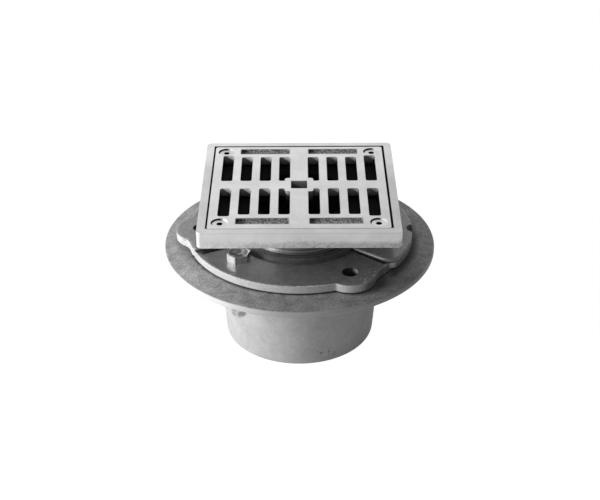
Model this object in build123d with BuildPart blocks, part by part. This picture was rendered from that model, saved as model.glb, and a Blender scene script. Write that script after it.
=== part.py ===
from build123d import *
from math import cos, radians, sin
import os

# A cast iron shower drain with a membrane clamp and a square strainer head that screws up and down.
# Millimetres. The origin is the centre of the outlet hub's foot, +Z points up, -Y is the front.

os.makedirs("parts", exist_ok=True)

# Strainer head: square frame, grate pocket and threaded neck
head_side = 152.4
head_height = 13.2
head_corner_round = 4.0
head_top_round = 0.7
head_foot_round = 0.8
frame_wall = 6.5
pocket_corner_round = 3.5
neck_radius = 44.45
neck_wall = 5.95
neck_root_round = 2.5
neck_tip_chamfer = 1.0
neck_below_flange = 10.0
head_lift = 35.95
well_margin = 6.2
well_drop = 1.4
well_fall = 1.6
lug_radius = 11.0

# Grate: slots, blind bars, key hole and screw places
grate_gap = 1.0
grate_thickness = 6.35
grate_sink = 0.15
grate_corner_round = 2.5
grate_top_round = 0.4
slots_per_side = 4
slot_width = 9.0
slot_round = 1.8
slot_draft = 6.0
slot_side_margin = 6.95
slot_end_margin = 20.2
outer_slot_end_margin = 17.6
middle_rib = 14.0
cross_rib = 12.8
pattern_shift = 1.2
bar_length = 40.0
bar_width = 8.8
bar_depth = 1.8
bar_round = 1.6
bar_draft = 12.0
bar_inset = 0.7
bar_margin = 10.0
boss_side = 22.5
boss_round = 2.5
boss_drop = 3.0
key_hole_side = 12.7
screw_margin = 9.2

# Grate screws: countersunk heads with a hexagon socket
screw_radius = 3.0
screw_head_radius = 5.5
screw_head_sink = 1.2
screw_length = 11.0
screw_tip_chamfer = 0.6
screw_socket_across_flats = 4.5
screw_socket_depth = 2.2

# Flashing clamp: two low sectors, two bridged side sectors, lobes and a threaded collar
clamp_thickness = 7.7
clamp_rise = 3.9
clamp_margin = 17.75
low_arc_inset = 1.2
low_arc_shift = 5.4
high_arc_shift = 0.75
high_corner_round = 7.0
low_sector_start = -156.0
low_sector_end = -37.0
sector_overlap = 4.5
collar_wall = 6.25
collar_land = 3.4
collar_foot_round = 3.4
collar_below_flange = 10.0
lobe_radius = 19.4
lobe_hole_radius = 6.1
low_lobe_inset = 15.9
low_lobe_angle = -58.8
high_lobe_inset = 11.6
high_lobe_angle = 180.6
lobe_sharp_round = 2.0
low_lobe_round = 24.0
high_lobe_round = 12.0
notch_outset = 1.3
notch_angle = -1.6
clamp_edge_round = 0.8
step_edge_round = 1.9
slit_height = 1.2
slit_angle = 5.0
slit_inset = 3.2
slit_foot_gap = 4.4
groove_depth = 2.5
groove_angle = 1.7
groove_inset = 7.0

# Clamp bolts
bolt_radius = 5.0
bolt_angle = -137.0
bolt_across_flats = 16.0
bolt_head_height = 6.4
bolt_length = 34.0
bolt_chamfer_drop = 1.2
bolt_face_radius = 7.6
bolt_turn = 15.0
bolt_tip_chamfer = 1.0
bolt_boss_radius = 10.5
bolt_boss_depth = 10.0
bolt_wall = 5.0

# Drain body: flange, bowl, waterway and outlet socket
body_height = 81.0
flange_radius = 107.95
flange_thickness = 5.0
flange_edge_round = 1.3
hub_wall = 12.4
hub_foot_round = 3.4
hub_root_round = 5.0
bowl_gap = 3.0
waterway_radius = 38.0
waterway_length = 3.0
socket_radius = 51.5
socket_depth = 35.0
socket_wall = 8.5
lead_groove_height = 8.0
lead_groove_width = 6.0
lead_groove_depth = 2.0
relief_radius = 12.0
relief_outset = 5.5
relief_depth = 46.0
relief_angle = -140.0

# Clearances
thread_clearance = 0.3
bolt_thread_clearance = 0.05
bolt_hole_clearance = 0.75
screw_hole_clearance = 0.3
screw_seat_clearance = 0.1
screw_thread_clearance = 0.05

# Levels that several pieces share
head_underside = body_height + head_lift
head_top = head_underside + head_height
grate_top = head_top - grate_sink
ledge_level = grate_top - grate_thickness
collar_top = body_height + clamp_rise + clamp_thickness
low_top = body_height + clamp_thickness

# Radii and sides that follow from the fits
neck_bore_radius = neck_radius - neck_wall
collar_bore_radius = neck_radius + thread_clearance
collar_radius = collar_bore_radius + collar_wall
bowl_radius = collar_radius + bowl_gap
hub_head_radius = bowl_radius + hub_wall
hub_foot_radius = socket_radius + socket_wall
bolt_circle = bowl_radius + bolt_wall + bolt_radius
bolt_hole_radius = bolt_radius + bolt_hole_clearance
clamp_radius = flange_radius - clamp_margin
pocket_side = head_side - 2 * frame_wall
grate_side = pocket_side - 2 * grate_gap
grate_half = grate_side / 2
screw_place = grate_half - screw_margin
countersink_radius = screw_head_radius + screw_head_sink + screw_seat_clearance
collar_foot = collar_bore_radius + collar_land + collar_foot_round
high_radius = clamp_radius - high_arc_shift


def polar(radius, angle):
    """A point in the plane at a radius and an angle in degrees."""
    return (radius * cos(radians(angle)), radius * sin(radians(angle)))


def half_turns(radius, angle):
    """Two points in the plane, half a turn apart."""
    return [polar(radius, angle), polar(radius, angle + 180)]


def quarters(across, along, shift):
    """Four points in the plane, one in each quarter, all moved towards the back by shift."""
    return [(side * across, end * along + shift) for side in (-1, 1) for end in (-1, 1)]


def sector(start, end, reach):
    """Corners of a wedge from the axis that covers the angles from start to end out to reach."""
    middle = (start + end) / 2
    return [(0, 0), polar(reach, start), polar(1.5 * reach, middle), polar(reach, end)]


def near(point, place, distance):
    """True where a vertex lies at a distance from a place in the plane."""
    gap = ((point.X - place[0]) ** 2 + (point.Y - place[1]) ** 2) ** 0.5
    return abs(gap - distance) < 0.01


def upright_plane(place, level):
    """An upright plane that faces the front, with its origin above a place, at a height."""
    return Plane(origin=(*place, level), x_dir=(1, 0, 0), z_dir=(0, -1, 0))


def on_level(edge, level):
    """True where an edge lies flat at a height."""
    return abs((edge @ 0).Z - level) < 0.01 and abs((edge @ 1).Z - level) < 0.01


def lobe_flanks(clamp, place):
    """Upright edges where a lobe leaves the clamp's rim, in their order round the axis."""
    flanks = clamp.edges().filter_by(Axis.Z).filter_by(
        lambda edge: near(edge.center(), place, lobe_radius)
    )
    return flanks.sort_by(lambda edge: edge.center().X * place[1] - edge.center().Y * place[0])


bolt_places = half_turns(bolt_circle, bolt_angle)
relief_places = half_turns(bolt_circle + relief_outset, relief_angle)
low_lobes = half_turns(clamp_radius - low_lobe_inset, low_lobe_angle)
high_lobe = polar(clamp_radius - high_lobe_inset, high_lobe_angle)
notch_place = polar(clamp_radius + notch_outset, notch_angle)
screw_places = quarters(screw_place, screw_place, 0)

# Drain body. One revolved casting: hub, flange, bowl, waterway and outlet socket in one profile.
flange_underside = body_height - flange_thickness
bowl_floor = socket_depth + waterway_length
bowl_knee = bowl_floor + bowl_radius - waterway_radius
groove_top = lead_groove_height + lead_groove_width

with BuildPart() as drain_body:
    with BuildSketch(Plane.XZ):
        with BuildLine():
            Polyline(
                (socket_radius, 0),
                (hub_foot_radius, 0),
                (hub_head_radius, flange_underside),
                (flange_radius, flange_underside),
                (flange_radius, body_height),
                (bowl_radius, body_height),
                (bowl_radius, bowl_knee),
                (waterway_radius, bowl_floor),
                (waterway_radius, socket_depth),
                (socket_radius, socket_depth),
                (socket_radius, groove_top),
                (socket_radius + lead_groove_depth, groove_top - lead_groove_depth),
                (socket_radius + lead_groove_depth, lead_groove_height + lead_groove_depth),
                (socket_radius, lead_groove_height),
                close=True,
            )
        make_face()
    revolve(axis=Axis.Z)
    foot_edge = drain_body.edges().filter_by(GeomType.CIRCLE).group_by(Axis.Z)[0].sort_by(
        SortBy.RADIUS
    )[-1]
    fillet(foot_edge, radius=hub_foot_round)
    rim_edges = drain_body.edges().filter_by(GeomType.CIRCLE).filter_by(
        lambda edge: abs(edge.radius - flange_radius) < 0.01
    )
    fillet(rim_edges, radius=flange_edge_round)
    root_edge = drain_body.edges().filter_by(GeomType.CIRCLE).filter_by(
        lambda edge: abs(edge.radius - hub_head_radius) < 0.01
    )
    fillet(root_edge, radius=hub_root_round)
    # Bosses under the flange give the clamp bolts their thread.
    with BuildSketch(Plane.XY.offset(flange_underside - bolt_boss_depth)):
        with Locations(bolt_places):
            Circle(bolt_boss_radius)
    extrude(amount=bolt_boss_depth)
    # Below each boss the hub is relieved, so that a long bolt clears it.
    with BuildSketch(Plane.XY.offset(body_height - relief_depth)):
        with Locations(relief_places):
            Circle(relief_radius)
    extrude(amount=relief_depth - flange_thickness - bolt_boss_depth, mode=Mode.SUBTRACT)
    with BuildSketch(Plane.XY.offset(body_height)):
        with Locations(bolt_places):
            Circle(bolt_radius + bolt_thread_clearance)
    extrude(amount=-(flange_thickness + bolt_boss_depth), mode=Mode.SUBTRACT)
drain_body.part.label = "drain_body"

# Flashing clamp. Low sectors press on the flange, side sectors bridge it so that water seeps under.
low_sectors = [(low_sector_start + turn, low_sector_end + turn) for turn in (0, 180)]
high_sectors = [(low_sector_end + turn, low_sector_start + 180 + turn) for turn in (0, 180)]
slits = [(start - groove_angle, start + slit_angle) for start, end in high_sectors]
slits += [(end - slit_angle, end + groove_angle) for start, end in high_sectors]
grooves = [(start - groove_angle, start) for start, end in high_sectors]
grooves += [(end, end + groove_angle) for start, end in high_sectors]

with BuildPart() as flashing_clamp:
    # Front and back sectors, from two wide arcs, each with a lobe round an empty hole
    with BuildSketch(Plane.XY.offset(body_height)):
        with Locations((0, low_arc_shift)):
            Circle(clamp_radius - low_arc_inset)
        with Locations((0, -low_arc_shift)):
            Circle(clamp_radius - low_arc_inset, mode=Mode.INTERSECT)
        with Locations(low_lobes):
            Circle(lobe_radius)
        for start, end in high_sectors:
            Polygon(
                *sector(start + sector_overlap, end - sector_overlap, clamp_radius * 2),
                align=None,
                mode=Mode.SUBTRACT,
            )
        Circle(collar_bore_radius, mode=Mode.SUBTRACT)
    extrude(amount=clamp_thickness)
    # Side sectors, raised by less than their thickness, the left one with a lobe
    with BuildSketch(Plane.XY.offset(body_height + clamp_rise)):
        with Locations((high_arc_shift, 0)):
            Circle(high_radius)
        with Locations(high_lobe):
            Circle(lobe_radius)
        for start, end in low_sectors:
            Polygon(*sector(start, end, clamp_radius * 2), align=None, mode=Mode.SUBTRACT)
        Circle(collar_bore_radius, mode=Mode.SUBTRACT)
    extrude(amount=clamp_thickness)
    high_corners = flashing_clamp.edges().filter_by(Axis.Z).filter_by(
        lambda edge: near(edge.center(), (high_arc_shift, 0), high_radius)
        and not near(edge.center(), high_lobe, lobe_radius)
    )
    fillet(high_corners, radius=high_corner_round)
    # Flanks of the lobes: the left lobe blends softly both ways, the low ones on one side only.
    fillet(lobe_flanks(flashing_clamp, high_lobe), radius=high_lobe_round)
    for place in low_lobes:
        fillet(lobe_flanks(flashing_clamp, place)[0], radius=low_lobe_round)
        fillet(lobe_flanks(flashing_clamp, place)[-1], radius=lobe_sharp_round)
    high_edges = flashing_clamp.edges().filter_by(
        lambda edge: on_level(edge, collar_top) and not near(edge @ 0, (0, 0), collar_bore_radius)
    )
    fillet(high_edges, radius=step_edge_round)
    low_rim_edges = flashing_clamp.edges().filter_by(
        lambda edge: on_level(edge, low_top)
        and edge.geom_type == GeomType.CIRCLE
        and abs(edge.radius - high_corner_round) > 0.01
        and not near(edge @ 0, (0, 0), collar_bore_radius)
    )
    fillet(low_rim_edges, radius=clamp_edge_round)
    # At the foot of each step a groove lies in the low sector and a slit runs under the side sector.
    with BuildSketch(Plane.XY.offset(low_top)):
        for start, end in grooves:
            Polygon(*sector(start, end, clamp_radius * 2), align=None)
        Circle(clamp_radius - groove_inset, mode=Mode.INTERSECT)
        Circle(collar_foot + slit_foot_gap, mode=Mode.SUBTRACT)
    extrude(amount=-groove_depth, mode=Mode.SUBTRACT)
    with BuildSketch(Plane.XY.offset(low_top)):
        for start, end in slits:
            Polygon(*sector(start, end, clamp_radius * 2), align=None)
        Circle(clamp_radius - slit_inset, mode=Mode.INTERSECT)
        Circle(collar_foot + slit_foot_gap, mode=Mode.SUBTRACT)
    extrude(amount=slit_height, mode=Mode.SUBTRACT)
    # Threaded collar round the neck, with a rounded foot on the low sectors
    with BuildSketch(Plane.XZ):
        with BuildLine():
            Polyline(
                (collar_bore_radius, collar_top),
                (collar_bore_radius, body_height - collar_below_flange),
                (collar_radius, body_height - collar_below_flange),
                (collar_radius, body_height),
                (collar_foot, low_top),
            )
            RadiusArc(
                (collar_foot, low_top),
                (collar_foot - collar_foot_round, low_top + collar_foot_round),
                -collar_foot_round,
            )
            Polyline(
                (collar_foot - collar_foot_round, low_top + collar_foot_round),
                (collar_foot - collar_foot_round, collar_top),
                (collar_bore_radius, collar_top),
            )
        make_face()
    revolve(axis=Axis.Z)
    with BuildSketch(Plane.XY.offset(collar_top)):
        Circle(collar_bore_radius)
        with Locations(bolt_places):
            Circle(bolt_hole_radius)
        with Locations(*low_lobes, high_lobe, notch_place):
            Circle(lobe_hole_radius)
    extrude(amount=-(clamp_rise + clamp_thickness + collar_below_flange), mode=Mode.SUBTRACT)
flashing_clamp.part.label = "flashing_clamp"


def clamp_bolt(label, place):
    """A hexagon head bolt through the clamp into the flange."""
    with BuildPart() as bolt:
        with BuildSketch(Plane.XY.offset(low_top)):
            with Locations(place):
                RegularPolygon(
                    radius=bolt_across_flats / 2,
                    side_count=6,
                    major_radius=False,
                    rotation=bolt_turn,
                )
        extrude(amount=bolt_head_height)
        # The corners of the hexagon are turned down to a round face.
        with BuildSketch(upright_plane(place, low_top)):
            with BuildLine():
                Polyline(
                    (0, 0),
                    (bolt_across_flats, 0),
                    (bolt_across_flats, bolt_head_height - bolt_chamfer_drop),
                    (bolt_face_radius, bolt_head_height),
                    (0, bolt_head_height),
                    close=True,
                )
            make_face()
        revolve(axis=Axis((*place, low_top), (0, 0, 1)), mode=Mode.INTERSECT)
        with BuildSketch(Plane.XY.offset(low_top)):
            with Locations(place):
                Circle(bolt_radius)
        extrude(amount=-bolt_length)
        chamfer(bolt.edges().group_by(Axis.Z)[0], length=bolt_tip_chamfer)
    bolt.part.label = label
    return bolt.part


bolt_labels = ("clamp_bolt_front", "clamp_bolt_back")
clamp_bolts = [clamp_bolt(label, place) for label, place in zip(bolt_labels, bolt_places)]

# Strainer head. One casting: square frame with a pocket for the grate, a well and a threaded neck.
neck_foot = body_height - neck_below_flange
well_side = pocket_side - 2 * well_margin
well_level = ledge_level - well_drop

with BuildPart() as strainer_head:
    with BuildSketch(Plane.XY.offset(head_underside)):
        RectangleRounded(head_side, head_side, head_corner_round)
    extrude(amount=head_height)
    fillet(strainer_head.faces().sort_by(Axis.Z)[-1].edges(), radius=head_top_round)
    fillet(strainer_head.faces().sort_by(Axis.Z)[0].edges(), radius=head_foot_round)
    with BuildSketch(Plane.XY.offset(neck_foot)):
        Circle(neck_radius)
    extrude(amount=head_underside - neck_foot)
    neck_root = strainer_head.edges().filter_by(GeomType.CIRCLE).filter_by(
        lambda edge: abs(edge.radius - neck_radius) < 0.01
    )
    fillet(neck_root.sort_by(Axis.Z)[-1], radius=neck_root_round)
    chamfer(neck_root.sort_by(Axis.Z)[0], length=neck_tip_chamfer)
    with BuildSketch(Plane.XY.offset(head_top)):
        RectangleRounded(pocket_side, pocket_side, pocket_corner_round)
    extrude(amount=ledge_level - head_top, mode=Mode.SUBTRACT)
    # The well leaves a lug in each corner for the grate screws, and falls towards the neck.
    with BuildSketch(Plane.XY.offset(ledge_level)):
        RectangleRounded(well_side, well_side, pocket_corner_round)
        with Locations(screw_places):
            Circle(lug_radius, mode=Mode.SUBTRACT)
    extrude(amount=-well_drop, mode=Mode.SUBTRACT)
    with BuildSketch(Plane.XZ):
        with BuildLine():
            Polyline(
                (0, well_level),
                (well_side / 2, well_level),
                (neck_bore_radius, well_level - well_fall),
                (neck_bore_radius, neck_foot),
                (0, neck_foot),
                close=True,
            )
        make_face()
    revolve(axis=Axis.Z, mode=Mode.SUBTRACT)
    with BuildSketch(Plane.XY.offset(ledge_level)):
        with Locations(screw_places):
            Circle(screw_radius + screw_thread_clearance)
    extrude(amount=head_underside - ledge_level, mode=Mode.SUBTRACT)
strainer_head.part.label = "strainer_head"

# Grate. Slots in two rows either side of a cross of ribs, blind bars, and a boss with a key hole.
first_slot = middle_rib / 2 + slot_width / 2
last_slot = grate_half - slot_side_margin - slot_width / 2
slot_pitch = (last_slot - first_slot) / (slots_per_side - 1)
bar_across = middle_rib / 2 + bar_length / 2 + bar_inset
bar_along = grate_half - bar_margin

with BuildPart() as grate:
    with BuildSketch(Plane.XY.offset(grate_top)):
        RectangleRounded(grate_side, grate_side, grate_corner_round)
    extrude(amount=-grate_thickness)
    fillet(grate.faces().sort_by(Axis.Z)[-1].edges(), radius=grate_top_round)
    with BuildSketch(Plane.XY.offset(grate_top)):
        for column in range(slots_per_side):
            end_margin = outer_slot_end_margin if column == slots_per_side - 1 else slot_end_margin
            slot_length = grate_half - end_margin - cross_rib / 2
            across = first_slot + column * slot_pitch
            along = cross_rib / 2 + slot_length / 2
            with Locations(quarters(across, along, pattern_shift)):
                RectangleRounded(slot_width, slot_length, slot_round)
    extrude(amount=-grate_thickness, taper=slot_draft, mode=Mode.SUBTRACT)
    with BuildSketch(Plane.XY.offset(grate_top)):
        with Locations(quarters(bar_across, bar_along, pattern_shift)):
            RectangleRounded(bar_length, bar_width, bar_round)
    extrude(amount=-bar_depth, taper=bar_draft, mode=Mode.SUBTRACT)
    with BuildSketch(Plane.XY.offset(grate_top)):
        with Locations((0, pattern_shift)):
            RectangleRounded(boss_side, boss_side, boss_round)
    extrude(amount=-(grate_thickness + boss_drop))
    with BuildSketch(Plane.XY.offset(grate_top)):
        with Locations((0, pattern_shift)):
            Rectangle(key_hole_side, key_hole_side)
    extrude(amount=-(grate_thickness + boss_drop), mode=Mode.SUBTRACT)
    with Locations(*[(x, y, grate_top) for x, y in screw_places]):
        CounterSinkHole(
            radius=screw_radius + screw_hole_clearance,
            counter_sink_radius=countersink_radius,
            counter_sink_angle=90,
            depth=grate_thickness,
        )
grate.part.label = "grate"


def grate_screw(label, place):
    """A countersunk screw with a hexagon socket, a little below the face of the grate."""
    with BuildPart() as screw:
        with BuildSketch(upright_plane(place, grate_top - screw_head_sink)):
            with BuildLine():
                Polyline(
                    (0, 0),
                    (screw_head_radius, 0),
                    (screw_radius, screw_radius - screw_head_radius),
                    (screw_radius, screw_tip_chamfer - screw_length),
                    (screw_radius - screw_tip_chamfer, -screw_length),
                    (0, -screw_length),
                    close=True,
                )
            make_face()
        revolve(axis=Axis((*place, 0), (0, 0, 1)))
        with BuildSketch(Plane.XY.offset(grate_top - screw_head_sink)):
            with Locations(place):
                RegularPolygon(radius=screw_socket_across_flats / 2, side_count=6, major_radius=False)
        extrude(amount=-screw_socket_depth, mode=Mode.SUBTRACT)
    screw.part.label = label
    return screw.part


screw_labels = (
    "grate_screw_front_left",
    "grate_screw_back_left",
    "grate_screw_front_right",
    "grate_screw_back_right",
)
grate_screws = [grate_screw(label, place) for label, place in zip(screw_labels, screw_places)]

castings = [drain_body.part, flashing_clamp.part, strainer_head.part, grate.part]
for piece in castings + clamp_bolts + grate_screws:
    export_step(piece, f"parts/{piece.label}.step")
    print(piece.label, piece.is_valid, len(piece.solids()), round(piece.volume))
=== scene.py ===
# %% [markdown]
# # Dressing a cast shower drain
# A shower drain of this kind is made of two metals. The body and the clamp are sand cast iron, grey
# and grainy. The square strainer head and its grate are nickel bronze, ground bright where feet and
# water pass. The solids come from a CAD model that fixes every size. This lesson gives them their
# finishes, cuts real threads into the neck and the bolts, and lights them like a catalogue picture.

import math

import bpy
import numpy as np
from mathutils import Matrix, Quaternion, Vector


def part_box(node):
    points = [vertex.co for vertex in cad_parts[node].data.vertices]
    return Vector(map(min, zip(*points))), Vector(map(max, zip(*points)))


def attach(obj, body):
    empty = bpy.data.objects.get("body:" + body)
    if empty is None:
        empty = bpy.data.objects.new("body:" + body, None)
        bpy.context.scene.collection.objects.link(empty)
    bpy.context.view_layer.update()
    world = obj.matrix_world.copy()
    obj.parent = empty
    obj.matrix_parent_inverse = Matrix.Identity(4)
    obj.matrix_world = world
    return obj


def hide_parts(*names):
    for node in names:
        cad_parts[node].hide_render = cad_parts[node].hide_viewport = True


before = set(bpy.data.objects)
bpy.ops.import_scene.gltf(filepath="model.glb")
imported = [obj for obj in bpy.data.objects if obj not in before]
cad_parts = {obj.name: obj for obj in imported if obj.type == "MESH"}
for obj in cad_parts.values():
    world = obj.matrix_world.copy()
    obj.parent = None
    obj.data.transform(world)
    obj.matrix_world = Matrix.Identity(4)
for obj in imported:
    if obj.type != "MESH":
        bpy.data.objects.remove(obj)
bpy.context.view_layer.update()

# %% [markdown]
# The finishes change at certain heights, such as the top of the flange. The CAD nodes say where
# these are, so the numbers are read from their boxes and not typed again. Only the two thicknesses
# are typed, because no box ends there. All lengths in this lesson are in metres.

# %% Levels read from the solids
clamp_thickness = 0.0077
head_height = 0.0132
flange_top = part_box("drain_body")[1].z
low_top = flange_top + clamp_thickness
collar_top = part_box("flashing_clamp")[1].z
head_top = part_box("strainer_head")[1].z
head_underside = head_top - head_height
head_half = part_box("strainer_head")[1].x
grate_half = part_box("grate")[1].x
grate_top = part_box("grate")[1].z
print("flange top", round(flange_top, 4), "head top", round(head_top, 5))

# %% [markdown]
# ## Shader maths as Python
# A finish is a formula over the surface, such as grain times wear plus stains. Wiring each Math node
# by hand hides that formula. Here one small class wraps a socket and overloads the operators, so an
# expression on values adds its own nodes, and one method makes any other node.


# %% A socket that can be added, multiplied and compared
class Signal:
    """The output of a node. Arithmetic on it adds Math nodes to its tree."""

    def __init__(self, graph, socket):
        self.graph = graph
        self.socket = socket

    def out(self, name):
        """Another output of the same node."""
        return Signal(self.graph, self.socket.node.outputs[name])

    def maths(self, operation, *values):
        return self.graph.node("ShaderNodeMath", {"operation": operation}, dict(enumerate(values)))

    def __add__(self, other):
        return self.maths("ADD", self, other)

    def __radd__(self, other):
        return self.maths("ADD", other, self)

    def __sub__(self, other):
        return self.maths("SUBTRACT", self, other)

    def __rsub__(self, other):
        return self.maths("SUBTRACT", other, self)

    def __mul__(self, other):
        return self.maths("MULTIPLY", self, other)

    def __rmul__(self, other):
        return self.maths("MULTIPLY", other, self)

    def __truediv__(self, other):
        return self.maths("DIVIDE", self, other)

    def __mod__(self, other):
        return self.maths("FLOORED_MODULO", self, other)

    def __pow__(self, other):
        return self.maths("POWER", self, other)

    def __abs__(self):
        return self.maths("ABSOLUTE", self)

    def at_least(self, other):
        return self.maths("MAXIMUM", self, other)

    def at_most(self, other):
        return self.maths("MINIMUM", self, other)


print("operators ready")


# %% A node tree with one method for any node
class Graph:
    """A node tree. node() makes any node from its type, its settings and its inputs."""

    def __init__(self, tree):
        self.tree = tree

    def feed(self, socket, value):
        """Links a signal to a socket, or sets the socket's number or colour."""
        if isinstance(value, Signal):
            self.tree.links.new(value.socket, socket)
        else:
            socket.default_value = value

    def node(self, kind, settings=None, inputs=None, output=0):
        made = self.tree.nodes.new(kind)
        for name, value in (settings or {}).items():
            setattr(made, name, value)
        for name, value in (inputs or {}).items():
            self.feed(made.inputs[name], value)
        return Signal(self, made.outputs[output])

    def ramp(self, value, low, high):
        """0 below low and 1 above high, with a smooth step between. Low may be the larger one."""
        return self.node(
            "ShaderNodeMapRange",
            {"interpolation_type": "SMOOTHSTEP"},
            {0: value, 1: low, 2: high},
        )

    def above(self, value, level, soft):
        """1 above a level and 0 below it, with a smooth step from soft below to soft above it."""
        return self.ramp(value, level - soft, level + soft)

    def below(self, value, level, soft):
        """1 below a level and 0 above it, with the same smooth step."""
        return self.ramp(value, level + soft, level - soft)

    def band(self, value, low, high, edge):
        """1 between low and high, falling softly to 0 over edge on both sides."""
        return self.ramp(value, low - edge, low) * self.ramp(value, high + edge, high)

    def mix(self, mask, below, above):
        """The value below where the mask is 0, and the value above where it is 1."""
        return self.node("ShaderNodeMix", inputs={0: mask, 2: below, 3: above})


print("graph ready")

# %% [markdown]
# Every finish needs the same few things: where a point lies, which way its face looks, and noises
# whose size is given as a real length. They are made once for each material, here.


# %% A finish: a material with its shader, its coordinates and its noises
def grey(tone):
    """A neutral colour of one linear tone."""
    return (tone, tone, tone, 1.0)


class Finish(Graph):
    """A Principled material whose patterns read Object coordinates in metres."""

    def __init__(self, name, constants):
        self.material = bpy.data.materials.new(name)
        self.material.use_nodes = True
        super().__init__(self.material.node_tree)
        self.shader = self.tree.nodes["Principled BSDF"]
        self.drive(constants)
        self.place = self.node("ShaderNodeTexCoord", output="Object")
        self.x = self.node("ShaderNodeSeparateXYZ", inputs={0: self.place})
        self.y = self.x.out("Y")
        self.z = self.x.out("Z")
        self.from_axis = (self.x * self.x + self.y * self.y) ** 0.5
        self.from_middle = abs(self.x).at_least(abs(self.y))
        facing = self.node("ShaderNodeNewGeometry", output="True Normal")
        self.facing_x = self.node("ShaderNodeSeparateXYZ", inputs={0: facing})
        self.facing_y = self.facing_x.out("Y")
        self.facing_up = self.facing_x.out("Z")

    def drive(self, inputs):
        """Sets or links sockets of the shader by name."""
        for name, value in inputs.items():
            self.feed(self.shader.inputs[name], value)

    def noise(self, size, detail=2.0, roughness=0.5):
        """Cloudy noise, from 0 to 1, whose blotches are about size metres across."""
        place = self.node("ShaderNodeMapping", inputs={"Vector": self.place})
        return self.node(
            "ShaderNodeTexNoise",
            inputs={"Vector": place, "Scale": 1 / size, "Detail": detail, "Roughness": roughness},
        )

    def away(self, place):
        """Distance in plan from an upright axis through a place."""
        return ((self.x - place[0]) ** 2 + (self.y - place[1]) ** 2) ** 0.5

    def nearest(self, places):
        """Distance in plan from the nearest of some upright axes."""
        least = self.away(places[0])
        for place in places[1:]:
            least = least.at_most(self.away(place))
        return least

    def spot(self, place, radius, edge):
        """1 inside a ball round a place, 0 outside it, with a soft edge."""
        away = self.node(
            "ShaderNodeVectorMath", {"operation": "DISTANCE"}, {0: self.place, 1: place}, output=1
        )
        return self.below(away, radius, edge)

    def bump(self, height, depth):
        """A normal from a height between 0 and 1 that stands for depth metres."""
        return self.node("ShaderNodeBump", inputs={"Strength": 1.0, "Distance": depth, "Height": height})


print("finish ready")

# %% [markdown]
# ## Camera
# The picture was taken from the front, about a metre away and thirty degrees above the drain, with
# a fairly long lens. The camera was fitted to the corners of the square head and to the round
# flange, so it sits where the photographer stood.

# %% Place the camera
camera_place = Vector((0.0005, -0.9077, 0.6042))
camera_aim = Vector((0.0005, 0.0, 0.071))
camera_roll = math.radians(-0.25)
lens_length, sensor_width = 78.2, 36.0
camera_data = bpy.data.cameras.new("camera")
camera_data.lens = lens_length
camera_data.sensor_width = sensor_width
camera = bpy.data.objects.new("camera", camera_data)
bpy.context.scene.collection.objects.link(camera)
camera.location = camera_place
camera.rotation_mode = "QUATERNION"
level_view = (camera_aim - camera_place).to_track_quat("-Z", "Y")
camera.rotation_quaternion = level_view @ Quaternion((0, 0, 1), camera_roll)
bpy.context.scene.camera = camera
bpy.context.scene.view_settings.view_transform = "Standard"
print("camera at", tuple(round(value, 3) for value in camera_place))

# %% [markdown]
# ## Studio
# The light comes low from the left, so the hub shades from nearly white on its left to mid grey on
# its right, and the head throws its shadow over the right half of the flange. A large soft lamp
# does that. A smaller lamp behind brightens the far half of the head's top, and it is kept out of
# reflections, because the ground metal would show it as a glare. The world adds an even fill. Rays
# that the camera, a reflection or glass sends out see plain white instead, the white of the page.


# %% A soft lamp that is aimed at a point
def softbox(name, place, aim, size, watts, in_reflections=True):
    lamp = bpy.data.lights.new(name, "AREA")
    lamp.shape = "DISK"
    lamp.size = size
    lamp.energy = watts
    holder = bpy.data.objects.new(name, lamp)
    bpy.context.scene.collection.objects.link(holder)
    holder.location = place
    holder.rotation_mode = "QUATERNION"
    holder.rotation_quaternion = (Vector(aim) - Vector(place)).to_track_quat("-Z", "Y")
    holder.visible_glossy = in_reflections
    print(name, "at", place)


softbox("key_lamp", place=(-0.50, -0.18, 0.24), aim=(0.0, 0.0, 0.07), size=0.32, watts=2.95)
softbox(
    "back_lamp", place=(-0.10, 0.50, 0.55), aim=(0.0, 0.0, 0.09), size=0.18, watts=1.05, in_reflections=False
)


# %% World: even fill for the object, white for the eye
def sees_page(graph):
    """1 for rays from the camera, from a reflection or through glass, and 0 for rays of light."""
    ray = graph.node("ShaderNodeLightPath", output="Is Camera Ray")
    return ray.at_least(ray.out("Is Glossy Ray")).at_least(ray.out("Is Transmission Ray"))


fill_level, page_level = 0.20, 1.0
world = bpy.data.worlds.new("studio")
world.use_nodes = True
bpy.context.scene.world = world
sky = Graph(world.node_tree)
sky_colour = sky.mix(sees_page(sky), fill_level, page_level)
sky.feed(world.node_tree.nodes["Background"].inputs["Color"], sky_colour)
print("fill", fill_level)

# %% [markdown]
# The floor is a pale sheet. The eye sees mostly an even white from it, and a tenth of its real
# look, which is enough for a faint shadow under the drain. Its light is the light of a pale sheet.

# %% Floor: pale, with the object's shadow
floor_half = 6.0
page_share, pale_tone, page_glow = 0.90, 0.8, 1.1
floor_mesh = bpy.data.meshes.new("floor")
floor_corners = [(-1, -1), (1, -1), (1, 1), (-1, 1)]
floor_mesh.from_pydata([(floor_half * x, floor_half * y, 0) for x, y in floor_corners], [], [(0, 1, 2, 3)])
floor = bpy.data.objects.new("floor", floor_mesh)
bpy.context.scene.collection.objects.link(floor)
floor_material = bpy.data.materials.new("floor")
floor_material.use_nodes = True
floor_mesh.materials.append(floor_material)
floor_nodes = floor_material.node_tree.nodes
floor_nodes.remove(floor_nodes["Principled BSDF"])
ground = Graph(floor_material.node_tree)
pale = ground.node("ShaderNodeBsdfDiffuse", inputs={"Color": grey(pale_tone)})
page = ground.node("ShaderNodeEmission", inputs={"Color": grey(1.0), "Strength": page_glow})
floor_look = ground.node("ShaderNodeMixShader", inputs={0: sees_page(ground) * page_share, 1: pale, 2: page})
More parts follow.
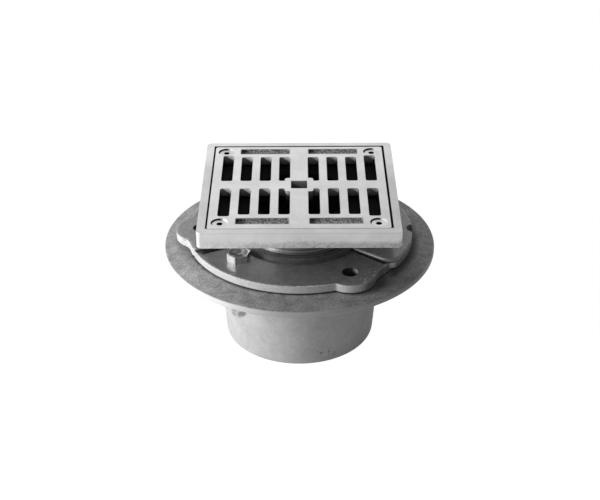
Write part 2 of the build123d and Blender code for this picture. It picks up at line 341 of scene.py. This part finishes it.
ground.feed(floor_nodes["Material Output"].inputs["Surface"], floor_look)
print("floor", floor_half * 2, "m wide")

# %% [markdown]
# ## Threads
# The neck screws into the clamp, so its wall is a screw thread and not a plain cylinder. A screw
# thread is one formula: at height z and angle a, the radius drops from the crest by a groove that
# repeats with z / pitch - a / turn. The copy of the CAD node loses its plain wall, and a grid worked
# out from that formula is sewn between the two rings that are left. A copy keeps all other faces.


# %% Read a CAD node as arrays of points and triangles
def merged_triangles(node):
    """Points of a node with coincident ones merged, and its triangles as rows of three."""
    decimals = 7
    mesh = node.data
    points = np.empty(len(mesh.vertices) * 3)
    mesh.vertices.foreach_get("co", points)
    mesh.calc_loop_triangles()
    corners = np.empty(len(mesh.loop_triangles) * 3, dtype=np.int64)
    mesh.loop_triangles.foreach_get("vertices", corners)
    rounded = np.round(points.reshape(-1, 3), decimals)
    merged, index = np.unique(rounded, axis=0, return_inverse=True)
    triangles = index.reshape(-1)[corners].reshape(-1, 3)
    whole = (triangles != np.roll(triangles, 1, axis=1)).all(axis=1)
    return merged, triangles[whole]


print("reader ready")

# %% [markdown]
# The plain shank is found by its radius. Its lowest and highest rings of points stay, because the
# faces beside them use them, and every new row of the grid has one point above each of theirs.


# %% Find the ends of a plain shank
on_radius = 2e-6
on_level = 1e-6


def shank_ends(points, triangles, radius, crest):
    """Lowest and highest level of the tallest plain wall at the radius crest."""
    on_crest = (np.abs(radius[triangles] - crest) < on_radius).all(axis=1)
    levels = points[triangles[on_crest]][:, :, 2]
    tallest = levels[np.argmax(np.ptp(levels, axis=1))]
    return tallest.min(), tallest.max()


print("shank finder ready")

# %% The wall of a thread
rows_per_pitch = 14
groove_slope, groove_crest = 2.6, 0.15


def thread_wall(centre, crest, pitch, depth, low, high, turns):
    """A grid of points on a threaded wall, one row for each level and one column for each angle.

    At angle a round the centre and height z the radius is
    crest - depth * groove(z / pitch - a / 2 pi) * fade(z). The groove is a flat-bottomed V of depth 1
    in each pitch, and the fade brings the radius back to the crest at both ends of the shank.
    """
    rows = int(round((high - low) / pitch * rows_per_pitch))
    levels = np.linspace(low, high, rows + 1)[1:-1]
    phase = (levels[:, None] / pitch - turns[None, :] / (2 * np.pi)) % 1.0
    groove = np.clip((0.5 - np.abs(phase - 0.5)) * groove_slope - groove_crest, 0.0, 1.0)
    from_end = np.minimum(levels - low, high - levels)[:, None]
    radius = crest - depth * groove * np.clip(from_end / pitch, 0.0, 1.0)
    across = centre[0] + radius * np.cos(turns)
    along = centre[1] + radius * np.sin(turns)
    return np.stack([across, along, np.broadcast_to(levels[:, None], radius.shape)], axis=-1)


print("thread formula ready")

# %% Cut a thread into a copy of a node
sharp_edge = math.radians(35)


def threaded_copy(node_name, piece_name, centre, crest, pitch, depth, body):
    """A copy of a node whose plain shank of radius crest carries a thread of a pitch and a depth."""
    points, triangles = merged_triangles(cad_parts[node_name])
    across = points[:, :2] - np.array(centre)
    radius = np.hypot(across[:, 0], across[:, 1])
    angle = np.arctan2(across[:, 1], across[:, 0])
    low, high = shank_ends(points, triangles, radius, crest)
    within = (points[:, 2] > low - on_level) & (points[:, 2] < high + on_level)
    on_wall = (np.abs(radius - crest) < on_radius) & within
    plain = triangles[~on_wall[triangles].all(axis=1)]
    rings = [np.flatnonzero(on_wall & (np.abs(points[:, 2] - level) < on_level)) for level in (low, high)]
    rings = [ring[np.argsort(angle[ring])] for ring in rings]
    wall = thread_wall(centre, crest, pitch, depth, low, high, angle[rings[0]])
    grid = len(points) + np.arange(wall.shape[0] * wall.shape[1]).reshape(wall.shape[:2])
    grid = np.vstack([rings[0], grid, rings[1]])
    beside = np.roll(grid, -1, axis=1)
    quads = np.stack([grid[:-1], beside[:-1], beside[1:], grid[1:]], axis=-1).reshape(-1, 4)
    mesh = bpy.data.meshes.new(piece_name)
    mesh.from_pydata(np.vstack([points, wall.reshape(-1, 3)]), [], plain.tolist() + quads.tolist())
    mesh.shade_smooth()
    mesh.set_sharp_from_angle(angle=sharp_edge)
    piece = bpy.data.objects.new(piece_name, mesh)
    bpy.context.scene.collection.objects.link(piece)
    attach(piece, body)
    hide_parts(node_name)
    print(piece_name, "has", len(quads), "thread faces between rings of", [len(ring) for ring in rings])
    return piece


print("thread cutter ready")

# %% The neck of the head and the two bolts
neck_radius, neck_pitch, neck_thread_depth = 0.04445, 0.003175, 0.0004
bolt_radius, bolt_pitch, bolt_thread_depth = 0.005, 0.0015, 0.0009
head_piece = threaded_copy(
    "strainer_head",
    "threaded_head",
    (0.0, 0.0),
    neck_radius,
    neck_pitch,
    neck_thread_depth,
    "head",
)
bolt_pieces = []
bolt_places = []
for side in ("front", "back"):
    low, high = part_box("clamp_bolt_" + side)
    centre = ((low.x + high.x) / 2, (low.y + high.y) / 2)
    bolt_places.append(centre)
    bolt_pieces.append(
        threaded_copy(
            "clamp_bolt_" + side,
            "threaded_bolt_" + side,
            centre,
            bolt_radius,
            bolt_pitch,
            bolt_thread_depth,
            "drain",
        )
    )
print("threaded pieces", 1 + len(bolt_pieces))

# %% [markdown]
# ## Nickel bronze
# The head and the grate are cast, then ground flat on top. Ground metal is bright, with fine
# flecks and faint clouds. Both pieces are painted a little duller towards the front and the right,
# as painted shade. The lower part of the head's edge keeps its casting skin, greyer and finely
# pitted. Inside, the metal is painted nearly black, as shade.

# %% What both bronze finishes share
hair = 0.0001
cloud_size, cloud_share = 0.017, 0.42
fleck_size, fleck_share = 0.0012, 0.16
# How far the painted shade in the gaps round the grate reaches onto the top edges.
gap_shade_reach = 0.0002


def ground_metal(finish, tone):
    """Tone of a ground face: tone * (1 + faint clouds + finer flecks), both centred on 0."""
    clouds = finish.noise(cloud_size, detail=4.0) - 0.5
    flecks = finish.noise(fleck_size) - 0.5
    return tone * (1.0 + clouds * cloud_share + flecks * fleck_share)


print("ground metal ready")

# %% The head's edge: ground above, casting skin below
head_finish = Finish("bronze_head", {"Metallic": 1.0, "IOR": 1.5})
to_right = head_finish.x / head_half
to_back = head_finish.y / head_half
skin_height, skin_wave, skin_soft = 0.0052, 0.005, 0.0022
skin_line = head_underside + skin_height + (head_finish.noise(0.009, detail=3.0) - 0.5) * skin_wave
skin = head_finish.below(head_finish.z, skin_line, skin_soft)
pits = head_finish.ramp(head_finish.noise(0.0013, detail=3.0, roughness=0.6), 0.50, 0.64)
blotches = head_finish.noise(0.0034, detail=3.0, roughness=0.6) - 0.5
# Painted shade: the edge, and its casting skin more so, is painted darker towards the right.
edge_tone = 0.55 - 0.07 * to_right
skin_tone = edge_tone * (0.80 - 0.16 * to_right) - 0.07 * pits + 0.34 * blotches
edge_tone = head_finish.mix(skin, ground_metal(head_finish, edge_tone), skin_tone)
print("edge ready")

# %% The head's corners and its top
corner_height, lip_soft, arris_soft = 0.0008, 0.0004, 0.0002
lip = head_finish.band(head_finish.z, head_underside, head_underside + corner_height, lip_soft)
arris = head_finish.band(head_finish.z, head_top - corner_height, head_top - arris_soft, arris_soft)
left_corner = head_finish.ramp(head_finish.facing_x, -0.25, -0.65)
# Painted highlight on corners that look left and along the lower edge, and painted shade under the top edge.
edge_tone = edge_tone * (1.0 + 0.16 * lip - 0.14 * arris + 0.25 * left_corner)
on_top = head_finish.above(head_finish.z, head_top - 2 * hair, hair)
# Painted light: the ground top is painted lighter towards the back and darker towards the right.
top_tone = 0.53 + 0.15 * head_finish.ramp(to_back, 0.0, 0.95) - 0.05 * to_right
outside = head_finish.mix(on_top, edge_tone, ground_metal(head_finish, top_tone))
print("top ready")

# %% [markdown]
# Seen from the front, the neck is painted bright where it looks at the lamp on the left and painted
# dull where it looks down at the dark clamp, as painted light and shade. Its thread grooves are a
# little darker than its crests.

# %% The head's neck
groove_floor, groove_lip = 0.00045, 0.00005
on_neck = head_finish.below(head_finish.z, head_underside, hair)
crest_share = head_finish.ramp(head_finish.from_axis, neck_radius - groove_floor, neck_radius - groove_lip)
thread_tone = head_finish.mix(crest_share, 0.24, 0.30)
# Painted highlight on the neck's left side and painted shade on its front.
painted_neck_highlight = head_finish.ramp(head_finish.facing_x, -0.28, -0.50)
neck_highlight_tone = 0.90 - 0.40 * head_finish.ramp(head_finish.facing_y, 0.0, 0.5)
thread_tone = head_finish.mix(painted_neck_highlight, thread_tone, neck_highlight_tone)
neck_front_shade = head_finish.ramp(head_finish.facing_x, -0.30, 0.05)
neck_front_shade = neck_front_shade * head_finish.ramp(head_finish.facing_y, -0.2, -0.6)
thread_tone = thread_tone * (1.0 - 0.42 * neck_front_shade)
outside = head_finish.mix(on_neck, outside, thread_tone)
print("neck ready")

# %% The inside of the head, painted dark as shade
frame_wall = 0.0065
# Painted shade: the pocket and the neck bore are painted nearly black, and the dark reaches a little onto
# the frame's top edge, more on the right, to widen the gap. The pocket's front, where light reaches, is
# painted less dark.
pocket_shade_edge = head_half - frame_wall + gap_shade_reach * (1.0 + head_finish.ramp(to_right, -0.5, 0.5))
pocket_floor = head_underside + 0.0005
in_pocket = head_finish.below(head_finish.from_middle, pocket_shade_edge, hair)
in_pocket = in_pocket * head_finish.above(head_finish.z, pocket_floor, hair)
neck_bore_edge, front_pocket_wall = 0.0410, -0.0690
inside = in_pocket.at_least(head_finish.below(head_finish.from_axis, neck_bore_edge, 2 * hair))
lit_front_gap = in_pocket * head_finish.below(head_finish.y, front_pocket_wall, 2 * hair)
inside_shade_tone = 0.006 + 0.014 * head_finish.noise(0.008, detail=3.0) + 0.45 * lit_front_gap
print("inside ready")

# %% Finish of the head
head_finish.drive(
    {
        "Base Color": head_finish.mix(inside, outside, inside_shade_tone),
        "Roughness": 0.40 + 0.12 * skin + 0.4 * inside,
        "Metallic": 1.0 - 0.85 * on_neck * (1.0 - inside),
        "Normal": head_finish.bump(head_finish.noise(0.0009) * 0.5 - pits * skin, 0.0001),
    }
)
head_piece.data.materials.append(head_finish.material)
print("head finished")

# %% [markdown]
# The slots of the grate repeat across it, so a remainder of x by the slot pitch says how far a point
# lies from the middle of its own slot. The back wall of each slot is painted bright at its upper
# right, where light falls on it, and painted dark below, as shade. The key hole in the middle is
# painted in the same way.

# %% Where a point lies in the pattern of the grate
grate_finish = Finish("bronze_grate", {"Metallic": 1.0, "IOR": 1.5})
depth = (grate_top - grate_finish.z).at_least(0.0)
first_slot, slot_pitch, slot_width = 0.0115, 0.01525, 0.009
key_hole_side, key_hole_reach = 0.0127, 0.0088
pattern_shift, slot_rows_end = 0.0012, 0.0525
from_slot = (abs(grate_finish.x) - (first_slot - slot_pitch / 2)) % slot_pitch - slot_pitch / 2
side = grate_finish.x.maths("SIGN", grate_finish.x)
slot_share = 0.5 + from_slot * side / slot_width
key_share = grate_finish.x / key_hole_side + 0.5
in_key = grate_finish.below(grate_finish.from_middle, key_hole_reach, 2 * hair)
from_row = abs(grate_finish.y - pattern_shift)
print("pattern ready")

# %% Painted light and shade on the back walls
faces_front = grate_finish.ramp(grate_finish.facing_y, -0.3, -0.7)
right_half = grate_finish.ramp(grate_finish.x, -0.005, 0.015)
lit_patch_soft = 0.0009
# Painted light: the back walls' upper right is painted bright where light falls, less so on the right half;
# below it the walls are painted dark as shade, a little lighter near the top.
slot_lit_patch = 0.0066 * slot_share - 0.0016 - 0.0008 * right_half
key_lit_patch = 0.0008 + 0.0085 * key_share
lit_patch = faces_front * grate_finish.below(depth, grate_finish.mix(in_key, slot_lit_patch, key_lit_patch), lit_patch_soft)
lit_patch = lit_patch * grate_finish.below(from_row, slot_rows_end, 0.0005)
lit_patch_tone = grate_finish.mix(in_key, 0.66 - 0.24 * right_half, 0.28)
wall_share = grate_finish.above(depth, 3 * hair, hair)
wall_tone = 0.006 + 0.15 * faces_front * grate_finish.ramp(depth, 0.0120, 0.0)
wall_tone = grate_finish.mix(lit_patch, wall_tone, lit_patch_tone)
print("walls ready")

# %% [markdown]
# The four blind bars are shallow troughs with a rough cast floor, darker towards their left ends. A
# bar is found by its distance in x and y from the middle of the nearest one. A darker band is painted
# on the top face round each bar, as painted shade.

# %% The blind bars
bar_middle, bar_row, bar_length, bar_depth = 0.0277, 0.0587, 0.040, 0.0018
bar_half_length, bar_half_width = 0.0203, 0.00485
bar_x = abs(abs(grate_finish.x) - bar_middle)
bar_y = abs(from_row - bar_row)
near_bar = grate_finish.below(bar_x, bar_half_length, 0.0006)
near_bar = near_bar * grate_finish.below(bar_y, bar_half_width, 0.00055)
# Painted shade round the bars' lips.
bar_lip = near_bar * (1.0 - wall_share)
in_bar = near_bar * wall_share * grate_finish.below(depth, bar_depth + 4 * hair, hair)
flat = grate_finish.ramp(grate_finish.facing_up, 0.6, 0.9)
bar_floor = grate_finish.band(depth, bar_depth - 2 * hair, bar_depth + 2 * hair, 2 * hair) * flat
from_bar_end = (grate_finish.x + bar_middle + bar_length / 2) % (2 * bar_middle)
speck = grate_finish.ramp(grate_finish.noise(0.0013, detail=3.0, roughness=0.65), 0.42, 0.62)
# The floor is darker towards each bar's left end.
left_end_dark = grate_finish.ramp(from_bar_end + (grate_finish.noise(0.004) - 0.5) * 0.006, 0.010, 0.0015)
bar_tone = (0.10 + 0.30 * speck) * (1.0 - 0.80 * left_end_dark)
print("bars ready")

# %% The countersinks round the screws
screw_corner = 0.0520
cone = grate_finish.band(grate_finish.facing_up, 0.55, 0.85, 0.1) * grate_finish.above(depth, 0.00015, hair)
in_cone = cone * grate_finish.ramp(grate_finish.from_middle, screw_corner, screw_corner + hair)
shaded = grate_finish.ramp(grate_finish.facing_x - grate_finish.facing_y, 0.25, 0.70)
cone_tone = grate_finish.mix(shaded, 0.62, 0.03)
print("countersinks ready")

# %% Finish of the grate
# Painted light: the ground top is painted lighter towards the back and darker towards the right.
top_tone = 0.64 + 0.05 * grate_finish.y / grate_half - 0.05 * grate_finish.x / grate_half
grate_tone = grate_finish.mix(wall_share, ground_metal(grate_finish, top_tone), wall_tone)
grate_tone = grate_finish.mix(bar_lip * 0.75, grate_tone, 0.16)
grate_tone = grate_finish.mix(in_bar, grate_tone, bar_tone)
grate_tone = grate_finish.mix(in_cone, grate_tone, cone_tone)
# Painted shade: the grate's outer wall is painted nearly black, reaching a little onto its top edge and
# further on the right; its front wall, where light falls, is painted less dark.
rim_shade_edge = grate_half - gap_shade_reach * (1.0 + grate_finish.ramp(grate_finish.x, -0.03, 0.03))
outer_wall = grate_finish.above(grate_finish.from_middle, rim_shade_edge, hair)
front_rim = -0.0680
lit_front_rim = grate_finish.below(grate_finish.y, front_rim, 2 * hair)
grate_finish.drive(
    {
        "Base Color": grate_finish.mix(outer_wall, grate_tone, 0.01 + 0.45 * lit_front_rim),
        "Roughness": 0.38 + 0.32 * wall_share,
        "Normal": grate_finish.bump(grate_finish.noise(0.0009) * 0.4 + bar_floor * speck * 2.0, 0.00012),
    }
)
print("grate finished")

# %% [markdown]
# The grate screws are stainless steel, flush with the countersinks. Only the sockets in their heads
# are painted dark, as shade.

# %% Finish of the grate screws
socket_level, socket_soft = 0.001375, 0.000125
screw_finish = Finish("stainless_screw", {"Metallic": 1.0, "IOR": 1.5})
# Painted shade in the sockets.
in_socket = screw_finish.below(screw_finish.z, grate_top - socket_level, socket_soft)
screw_finish.drive(
    {
        "Base Color": screw_finish.mix(in_socket, ground_metal(screw_finish, 0.62), 0.01),
        "Roughness": 0.34 + 0.3 * in_socket,
    }
)
print("screws finished")

# %% [markdown]
# ## Cast iron
# Sand casting leaves a skin of fine grain with larger soft mottles. The body has a thin grey coat. Its
# flange is coarser than the hub and falls a little towards the rim, which is worn light. The clamp is
# painted dark and glossy on top, and its rim shows the plain grey iron.

# %% Grain that both castings share
fine_share, coarse_share, coarse_size = 0.66, 0.34, 5


def sand_grain(finish, size):
    """Height of a sand cast skin, from 0 to 1: grain of one size with coarser grain under it."""
    fine = finish.noise(size, detail=3.0, roughness=0.65)
    coarse = finish.noise(size * coarse_size, detail=3.0)
    return fine * fine_share + coarse * coarse_share


print("grain ready")

# %% Places in plan that the castings' finishes use
notch = (0.0915, -0.0026)
lobe_holes = ((0.0385, -0.0636), (-0.0385, 0.0636), (-0.0786, -0.0008))
relief_places = ((-0.0532, -0.0447), (0.0532, 0.0447))
low_arc_centre = (0.0, 0.0054)
front_right_lobe = (0.0445, -0.0610)
print("places", len(lobe_holes) + len(relief_places) + 3)

# %% The body's two skins and its worn rim
flange_side, rim_start, rim_soft = 0.0055, 0.1073, 0.0005
body_finish = Finish("iron_body", {"IOR": 1.45, "Specular IOR Level": 0.3})
on_flange = body_finish.above(body_finish.z, flange_top - flange_side, 0.0003)
flange_grain = sand_grain(body_finish, 0.0014)
hub_grain = sand_grain(body_finish, 0.0011)
flange_tone = 0.24 + 0.27 * body_finish.ramp(flange_grain, 0.36, 0.66)
hub_tone = 0.49 + 0.11 * body_finish.ramp(hub_grain, 0.34, 0.66)
mottle = body_finish.ramp(body_finish.noise(0.020, detail=3.0, roughness=0.55), 0.35, 0.70)
body_tone = body_finish.mix(on_flange, hub_tone, flange_tone) * (1.0 - 0.09 * mottle)
rim = body_finish.above(body_finish.from_axis, rim_start, rim_soft)
body_tone = body_finish.mix(rim, body_tone, 0.62)
print("skins ready")

# %% [markdown]
# Shadow is painted on the flange along the edge of the clamp: round its lobe at the front right,
# along its right side and in a broken arc at the front. The flange is also painted duller at the
# front right, where the head shades it, and lighter at the front left, as painted light.

# %% Painted shadow and light on the flange
# Painted shadow on the flange beside the clamp's foot.
lobe_shadow = body_finish.ramp(body_finish.away(front_right_lobe), 0.0290, 0.0185)
side_shadow = body_finish.ramp(body_finish.from_axis, 0.0975, 0.0905)
side_shadow = side_shadow * body_finish.ramp(body_finish.x, 0.060, 0.075)
front_arc = body_finish.ramp(body_finish.away(low_arc_centre), 0.0918, 0.0893)
front_arc = front_arc * body_finish.ramp(body_finish.y, 0.0, -0.03)
front_arc = front_arc * body_finish.ramp(body_finish.noise(0.006, detail=3.0), 0.30, 0.55)
clamp_edge_shadow = lobe_shadow.at_least(side_shadow).at_least(front_arc * 0.8)
to_front = body_finish.ramp(body_finish.y, -0.035, -0.065)
right_shade = 0.55 * body_finish.ramp(body_finish.x, -0.040, -0.010)
right_shade = right_shade + 0.45 * body_finish.ramp(body_finish.x, 0.030, 0.090)
left_light = body_finish.ramp(body_finish.x, -0.035, -0.060) * to_front
flange_shade = (0.75 * clamp_edge_shadow).at_least(0.38 * right_shade * to_front) - 0.16 * left_light
body_tone = body_tone * (1.0 - on_flange * flange_shade)
print("flange ready")

# %% [markdown]
# Below each bolt a scoop is cast into the hub. From the front only its floor shows, as a short dark
# mark, so the floor is painted lighter and the mark is painted shade on it and on the wall at its
# left.

# %% The scoop beside the hub and the chips at its foot
scoop_radius, scoop_floor = 0.01235, 0.0350
in_scoop = body_finish.below(body_finish.nearest(relief_places), scoop_radius, 0.00015)
lit_floor = in_scoop * body_finish.band(body_finish.z, scoop_floor - 0.0003, scoop_floor + 0.0004, 0.0003)
lit_floor = lit_floor * body_finish.ramp(body_finish.facing_up, 0.5, 0.8)
floor_shade = body_finish.spot((-0.0460, -0.0385, 0.0348), 0.0036, 0.0018)
wall_shade = body_finish.spot((-0.0525, -0.0345, 0.0320), 0.0034, 0.0026)
over_foot = body_finish.z - 0.0320 - 0.45 * (body_finish.x + 0.050)
scoop_shade = floor_shade.at_least(0.8 * wall_shade) * body_finish.ramp(over_foot, -0.0012, 0.0002)
# Painted light on the scoop's floor and painted shade over its mark.
body_tone = body_tone * (1.0 + 0.45 * lit_floor) * (1.0 - 0.60 * scoop_shade)
chips = body_finish.ramp(body_finish.noise(0.0025), 0.62, 0.70)
chips = chips * body_finish.spot((0.021, -0.058, 0.006), 0.009, 0.004)
print("scoop ready")

# %% Finish of the body
bowl_edge = 0.0543
# Painted shade: the inside of the bowl is painted dark, and the real chips at the foot take the same dark
# tone.
body_inside = body_finish.below(body_finish.from_axis, bowl_edge, 2 * hair)
body_tone = body_finish.mix(body_inside.at_least(chips), body_tone, 0.07)
fall = body_finish.ramp(body_finish.from_axis, 0.094, 0.110)
grain_height = body_finish.mix(on_flange, hub_grain * 0.5, flange_grain)
body_finish.drive(
    {
        "Base Color": body_tone,
        "Roughness": 0.6 + 0.2 * flange_grain,
        "Normal": body_finish.bump(grain_height - fall * on_flange * 3.0, 0.0005),
    }
)
print("body finished")

# %% [markdown]
# The clamp's coat lies on every face that looks up and on the collar. Its right flanks and the far
# right corner of the low sector get the dark coat tone too, as painted shade. The rim that looks left
# and to the front is bare. Chips break the coat along the right edge.

# %% Where the clamp is coated
clamp_finish = Finish("iron_clamp", {"IOR": 1.5, "Coat Roughness": 0.12})
clamp_grain = sand_grain(clamp_finish, 0.0012)
low_step = clamp_finish.above(clamp_finish.z, low_top + 4 * hair, 2 * hair)
on_collar = clamp_finish.ramp(clamp_finish.from_axis, 0.0550, 0.0520)
coated = clamp_finish.ramp(clamp_finish.facing_up, 0.35, 0.60).at_least(on_collar)
# Painted shade: faces that look right, and the far right corner, take the dark coat tone.
coated = coated.at_least(clamp_finish.ramp(clamp_finish.facing_x, 0.30, 0.70))
coated = coated.at_least(clamp_finish.ramp(clamp_finish.z, collar_top - 0.0017, collar_top - 0.0012))
far_corner = clamp_finish.ramp(clamp_finish.x, 0.055, 0.062)
far_corner = far_corner * clamp_finish.ramp(clamp_finish.from_axis, 0.0795, 0.0825)
coated = coated.at_least(far_corner * low_step)
chipped = clamp_finish.ramp(clamp_finish.noise(0.0032, detail=3.0), 0.60, 0.66)
chipped = chipped * clamp_finish.ramp(clamp_finish.from_axis, 0.0790, 0.0850)
chipped = chipped * clamp_finish.ramp(clamp_finish.x, 0.030, 0.045)
coated = coated * (1.0 - 0.5 * chipped)
print("coat ready")

# %% Painted shade on the clamp: bore, holes and foot
bore_edge, hole_edge = 0.04575, 0.0065
# Painted shade: the bore, the holes and a line along the foot are painted nearly black; the holes' walls
# that look left, near the top, are painted less dark, as lit.
in_bore = clamp_finish.below(clamp_finish.from_axis, bore_edge, 0.00025)
lit_wall = clamp_finish.ramp(clamp_finish.facing_x, -0.2, -0.8)
lit_wall = lit_wall * clamp_finish.ramp(clamp_finish.z, low_top - 0.0055, low_top - 0.0015)
from_hole = clamp_finish.nearest(lobe_holes + (notch,))
in_hole = clamp_finish.below(from_hole, hole_edge, hair) * (1.0 - 0.6 * lit_wall)
foot = clamp_finish.ramp(clamp_finish.z, flange_top + 0.0016, flange_top + 0.0009)
print("holes ready")

# %% [markdown]
# A thin slit runs under the edge of each raised sector, where it steps up from the low one. The slits
# and the front face of the left step are painted nearly black, as shade. There are four steps, in two
# pairs half a turn apart, so the angle is taken modulo half a turn.

# %% Painted shade on the clamp: slits at the steps
right_slit = (math.radians(18.9), math.radians(25.8))
left_slit = (math.radians(141.2), math.radians(148.1))
slit_soft = 0.002
half_turn = clamp_finish.y.maths("ARCTAN2", clamp_finish.y, clamp_finish.x) % math.pi
at_step = clamp_finish.band(half_turn, *right_slit, slit_soft)
at_step = at_step.at_least(clamp_finish.band(half_turn, *left_slit, slit_soft))
in_slit = at_step * clamp_finish.band(clamp_finish.z, low_top - 0.0030, low_top + 0.0013, hair)
in_slit = in_slit * clamp_finish.ramp(clamp_finish.from_axis, 0.0835, 0.0828)
under_edge = clamp_finish.below(clamp_finish.z, low_top - 3 * hair, hair)
in_slit = in_slit * under_edge.at_least(clamp_finish.ramp(clamp_finish.facing_up, 0.9, 0.5))
# Painted shade on the front face of the step at the left.
left_step = clamp_finish.ramp(clamp_finish.facing_y, -0.70, -0.90) * low_step
left_step = left_step * clamp_finish.ramp(clamp_finish.x, -0.055, -0.065)
print("slits ready")

# %% Finish of the clamp
# All these dark places are painted shade.
dark = in_hole.at_least(in_bore).at_least(foot).at_least(in_slit).at_least(left_step)
grain_share = clamp_finish.ramp(clamp_grain, 0.34, 0.66)
# Painted shade: the collar is painted darker, and its wall more so except at the left, so that it shows
# little.
collar_wall = on_collar * clamp_finish.ramp(clamp_finish.facing_up, 0.9, 0.6)
collar_wall = collar_wall * clamp_finish.ramp(clamp_finish.x, -0.028, -0.014)
coat_tone = (0.125 + 0.11 * grain_share) * (1.0 - 0.35 * on_collar) * (1.0 - 0.50 * collar_wall)
bare_tone = 0.54 + 0.16 * grain_share
clamp_finish.drive(
    {
        "Base Color": clamp_finish.mix(dark, clamp_finish.mix(coated, bare_tone, coat_tone), 0.02),
        "Roughness": 0.55 - 0.1 * coated + 0.3 * on_collar,
        "Coat Weight": 0.6 * clamp_finish.ramp(clamp_finish.facing_up, 0.85, 0.97) * (1.0 - on_collar),
        "Normal": clamp_finish.bump(clamp_grain, 0.00018),
    }
)
print("clamp finished")

# %% [markdown]
# The clamp bolts are zinc plated. Their left flats and their turned edge are painted bright, as
# painted highlight, and the top of the head is blotched.

# %% Finish of the bolts
edge_start, edge_end = 0.0071, 0.0077
bolt_finish = Finish("zinc_bolt", {"Metallic": 1.0, "IOR": 1.5})
zinc = bolt_finish.noise(0.003, detail=3.0)
# Painted highlight round the turned edge of each head.
turned_edge = bolt_finish.ramp(bolt_finish.nearest(bolt_places), edge_start, edge_end)
turned_edge = turned_edge * bolt_finish.ramp(bolt_finish.facing_up, 0.2, 0.4)
top_blotches = bolt_finish.ramp(bolt_finish.noise(0.0036, detail=1.0), 0.54, 0.60)
# Painted highlight on the flats that look left.
painted_lit_flat = bolt_finish.ramp(bolt_finish.facing_x, -0.3, -0.7)
bolt_top = bolt_finish.ramp(bolt_finish.facing_up, 0.6, 0.9)
bolt_tone = bolt_finish.mix(painted_lit_flat, 0.22 + 0.34 * zinc, 1.0)
bolt_tone = bolt_finish.mix(bolt_top, bolt_tone, 0.24 + 0.20 * zinc + 0.56 * top_blotches)
bolt_finish.drive(
    {
        "Base Color": bolt_finish.mix(turned_edge, bolt_tone, 0.90),
        "Roughness": 0.22 + 0.15 * zinc,
        "Normal": bolt_finish.bump(bolt_finish.noise(0.0008), 0.00005),
    }
)
for piece in bolt_pieces:
    piece.data.materials.append(bolt_finish.material)
print("bolts finished")

# %% [markdown]
# The other nodes keep their own meshes. Each gets its finish in place of its plain material, and
# the four grate screws share one.


# %% Give the CAD nodes their finishes
def dress(node_name, finish):
    """The node keeps its mesh and gets the finish in place of its plain material."""
    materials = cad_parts[node_name].data.materials
    materials.clear()
    materials.append(finish.material)


dress("drain_body", body_finish)
dress("flashing_clamp", clamp_finish)
dress("grate", grate_finish)
for corner in ("front_left", "front_right", "back_left", "back_right"):
    dress("grate_screw_" + corner, screw_finish)
print("nodes dressed")
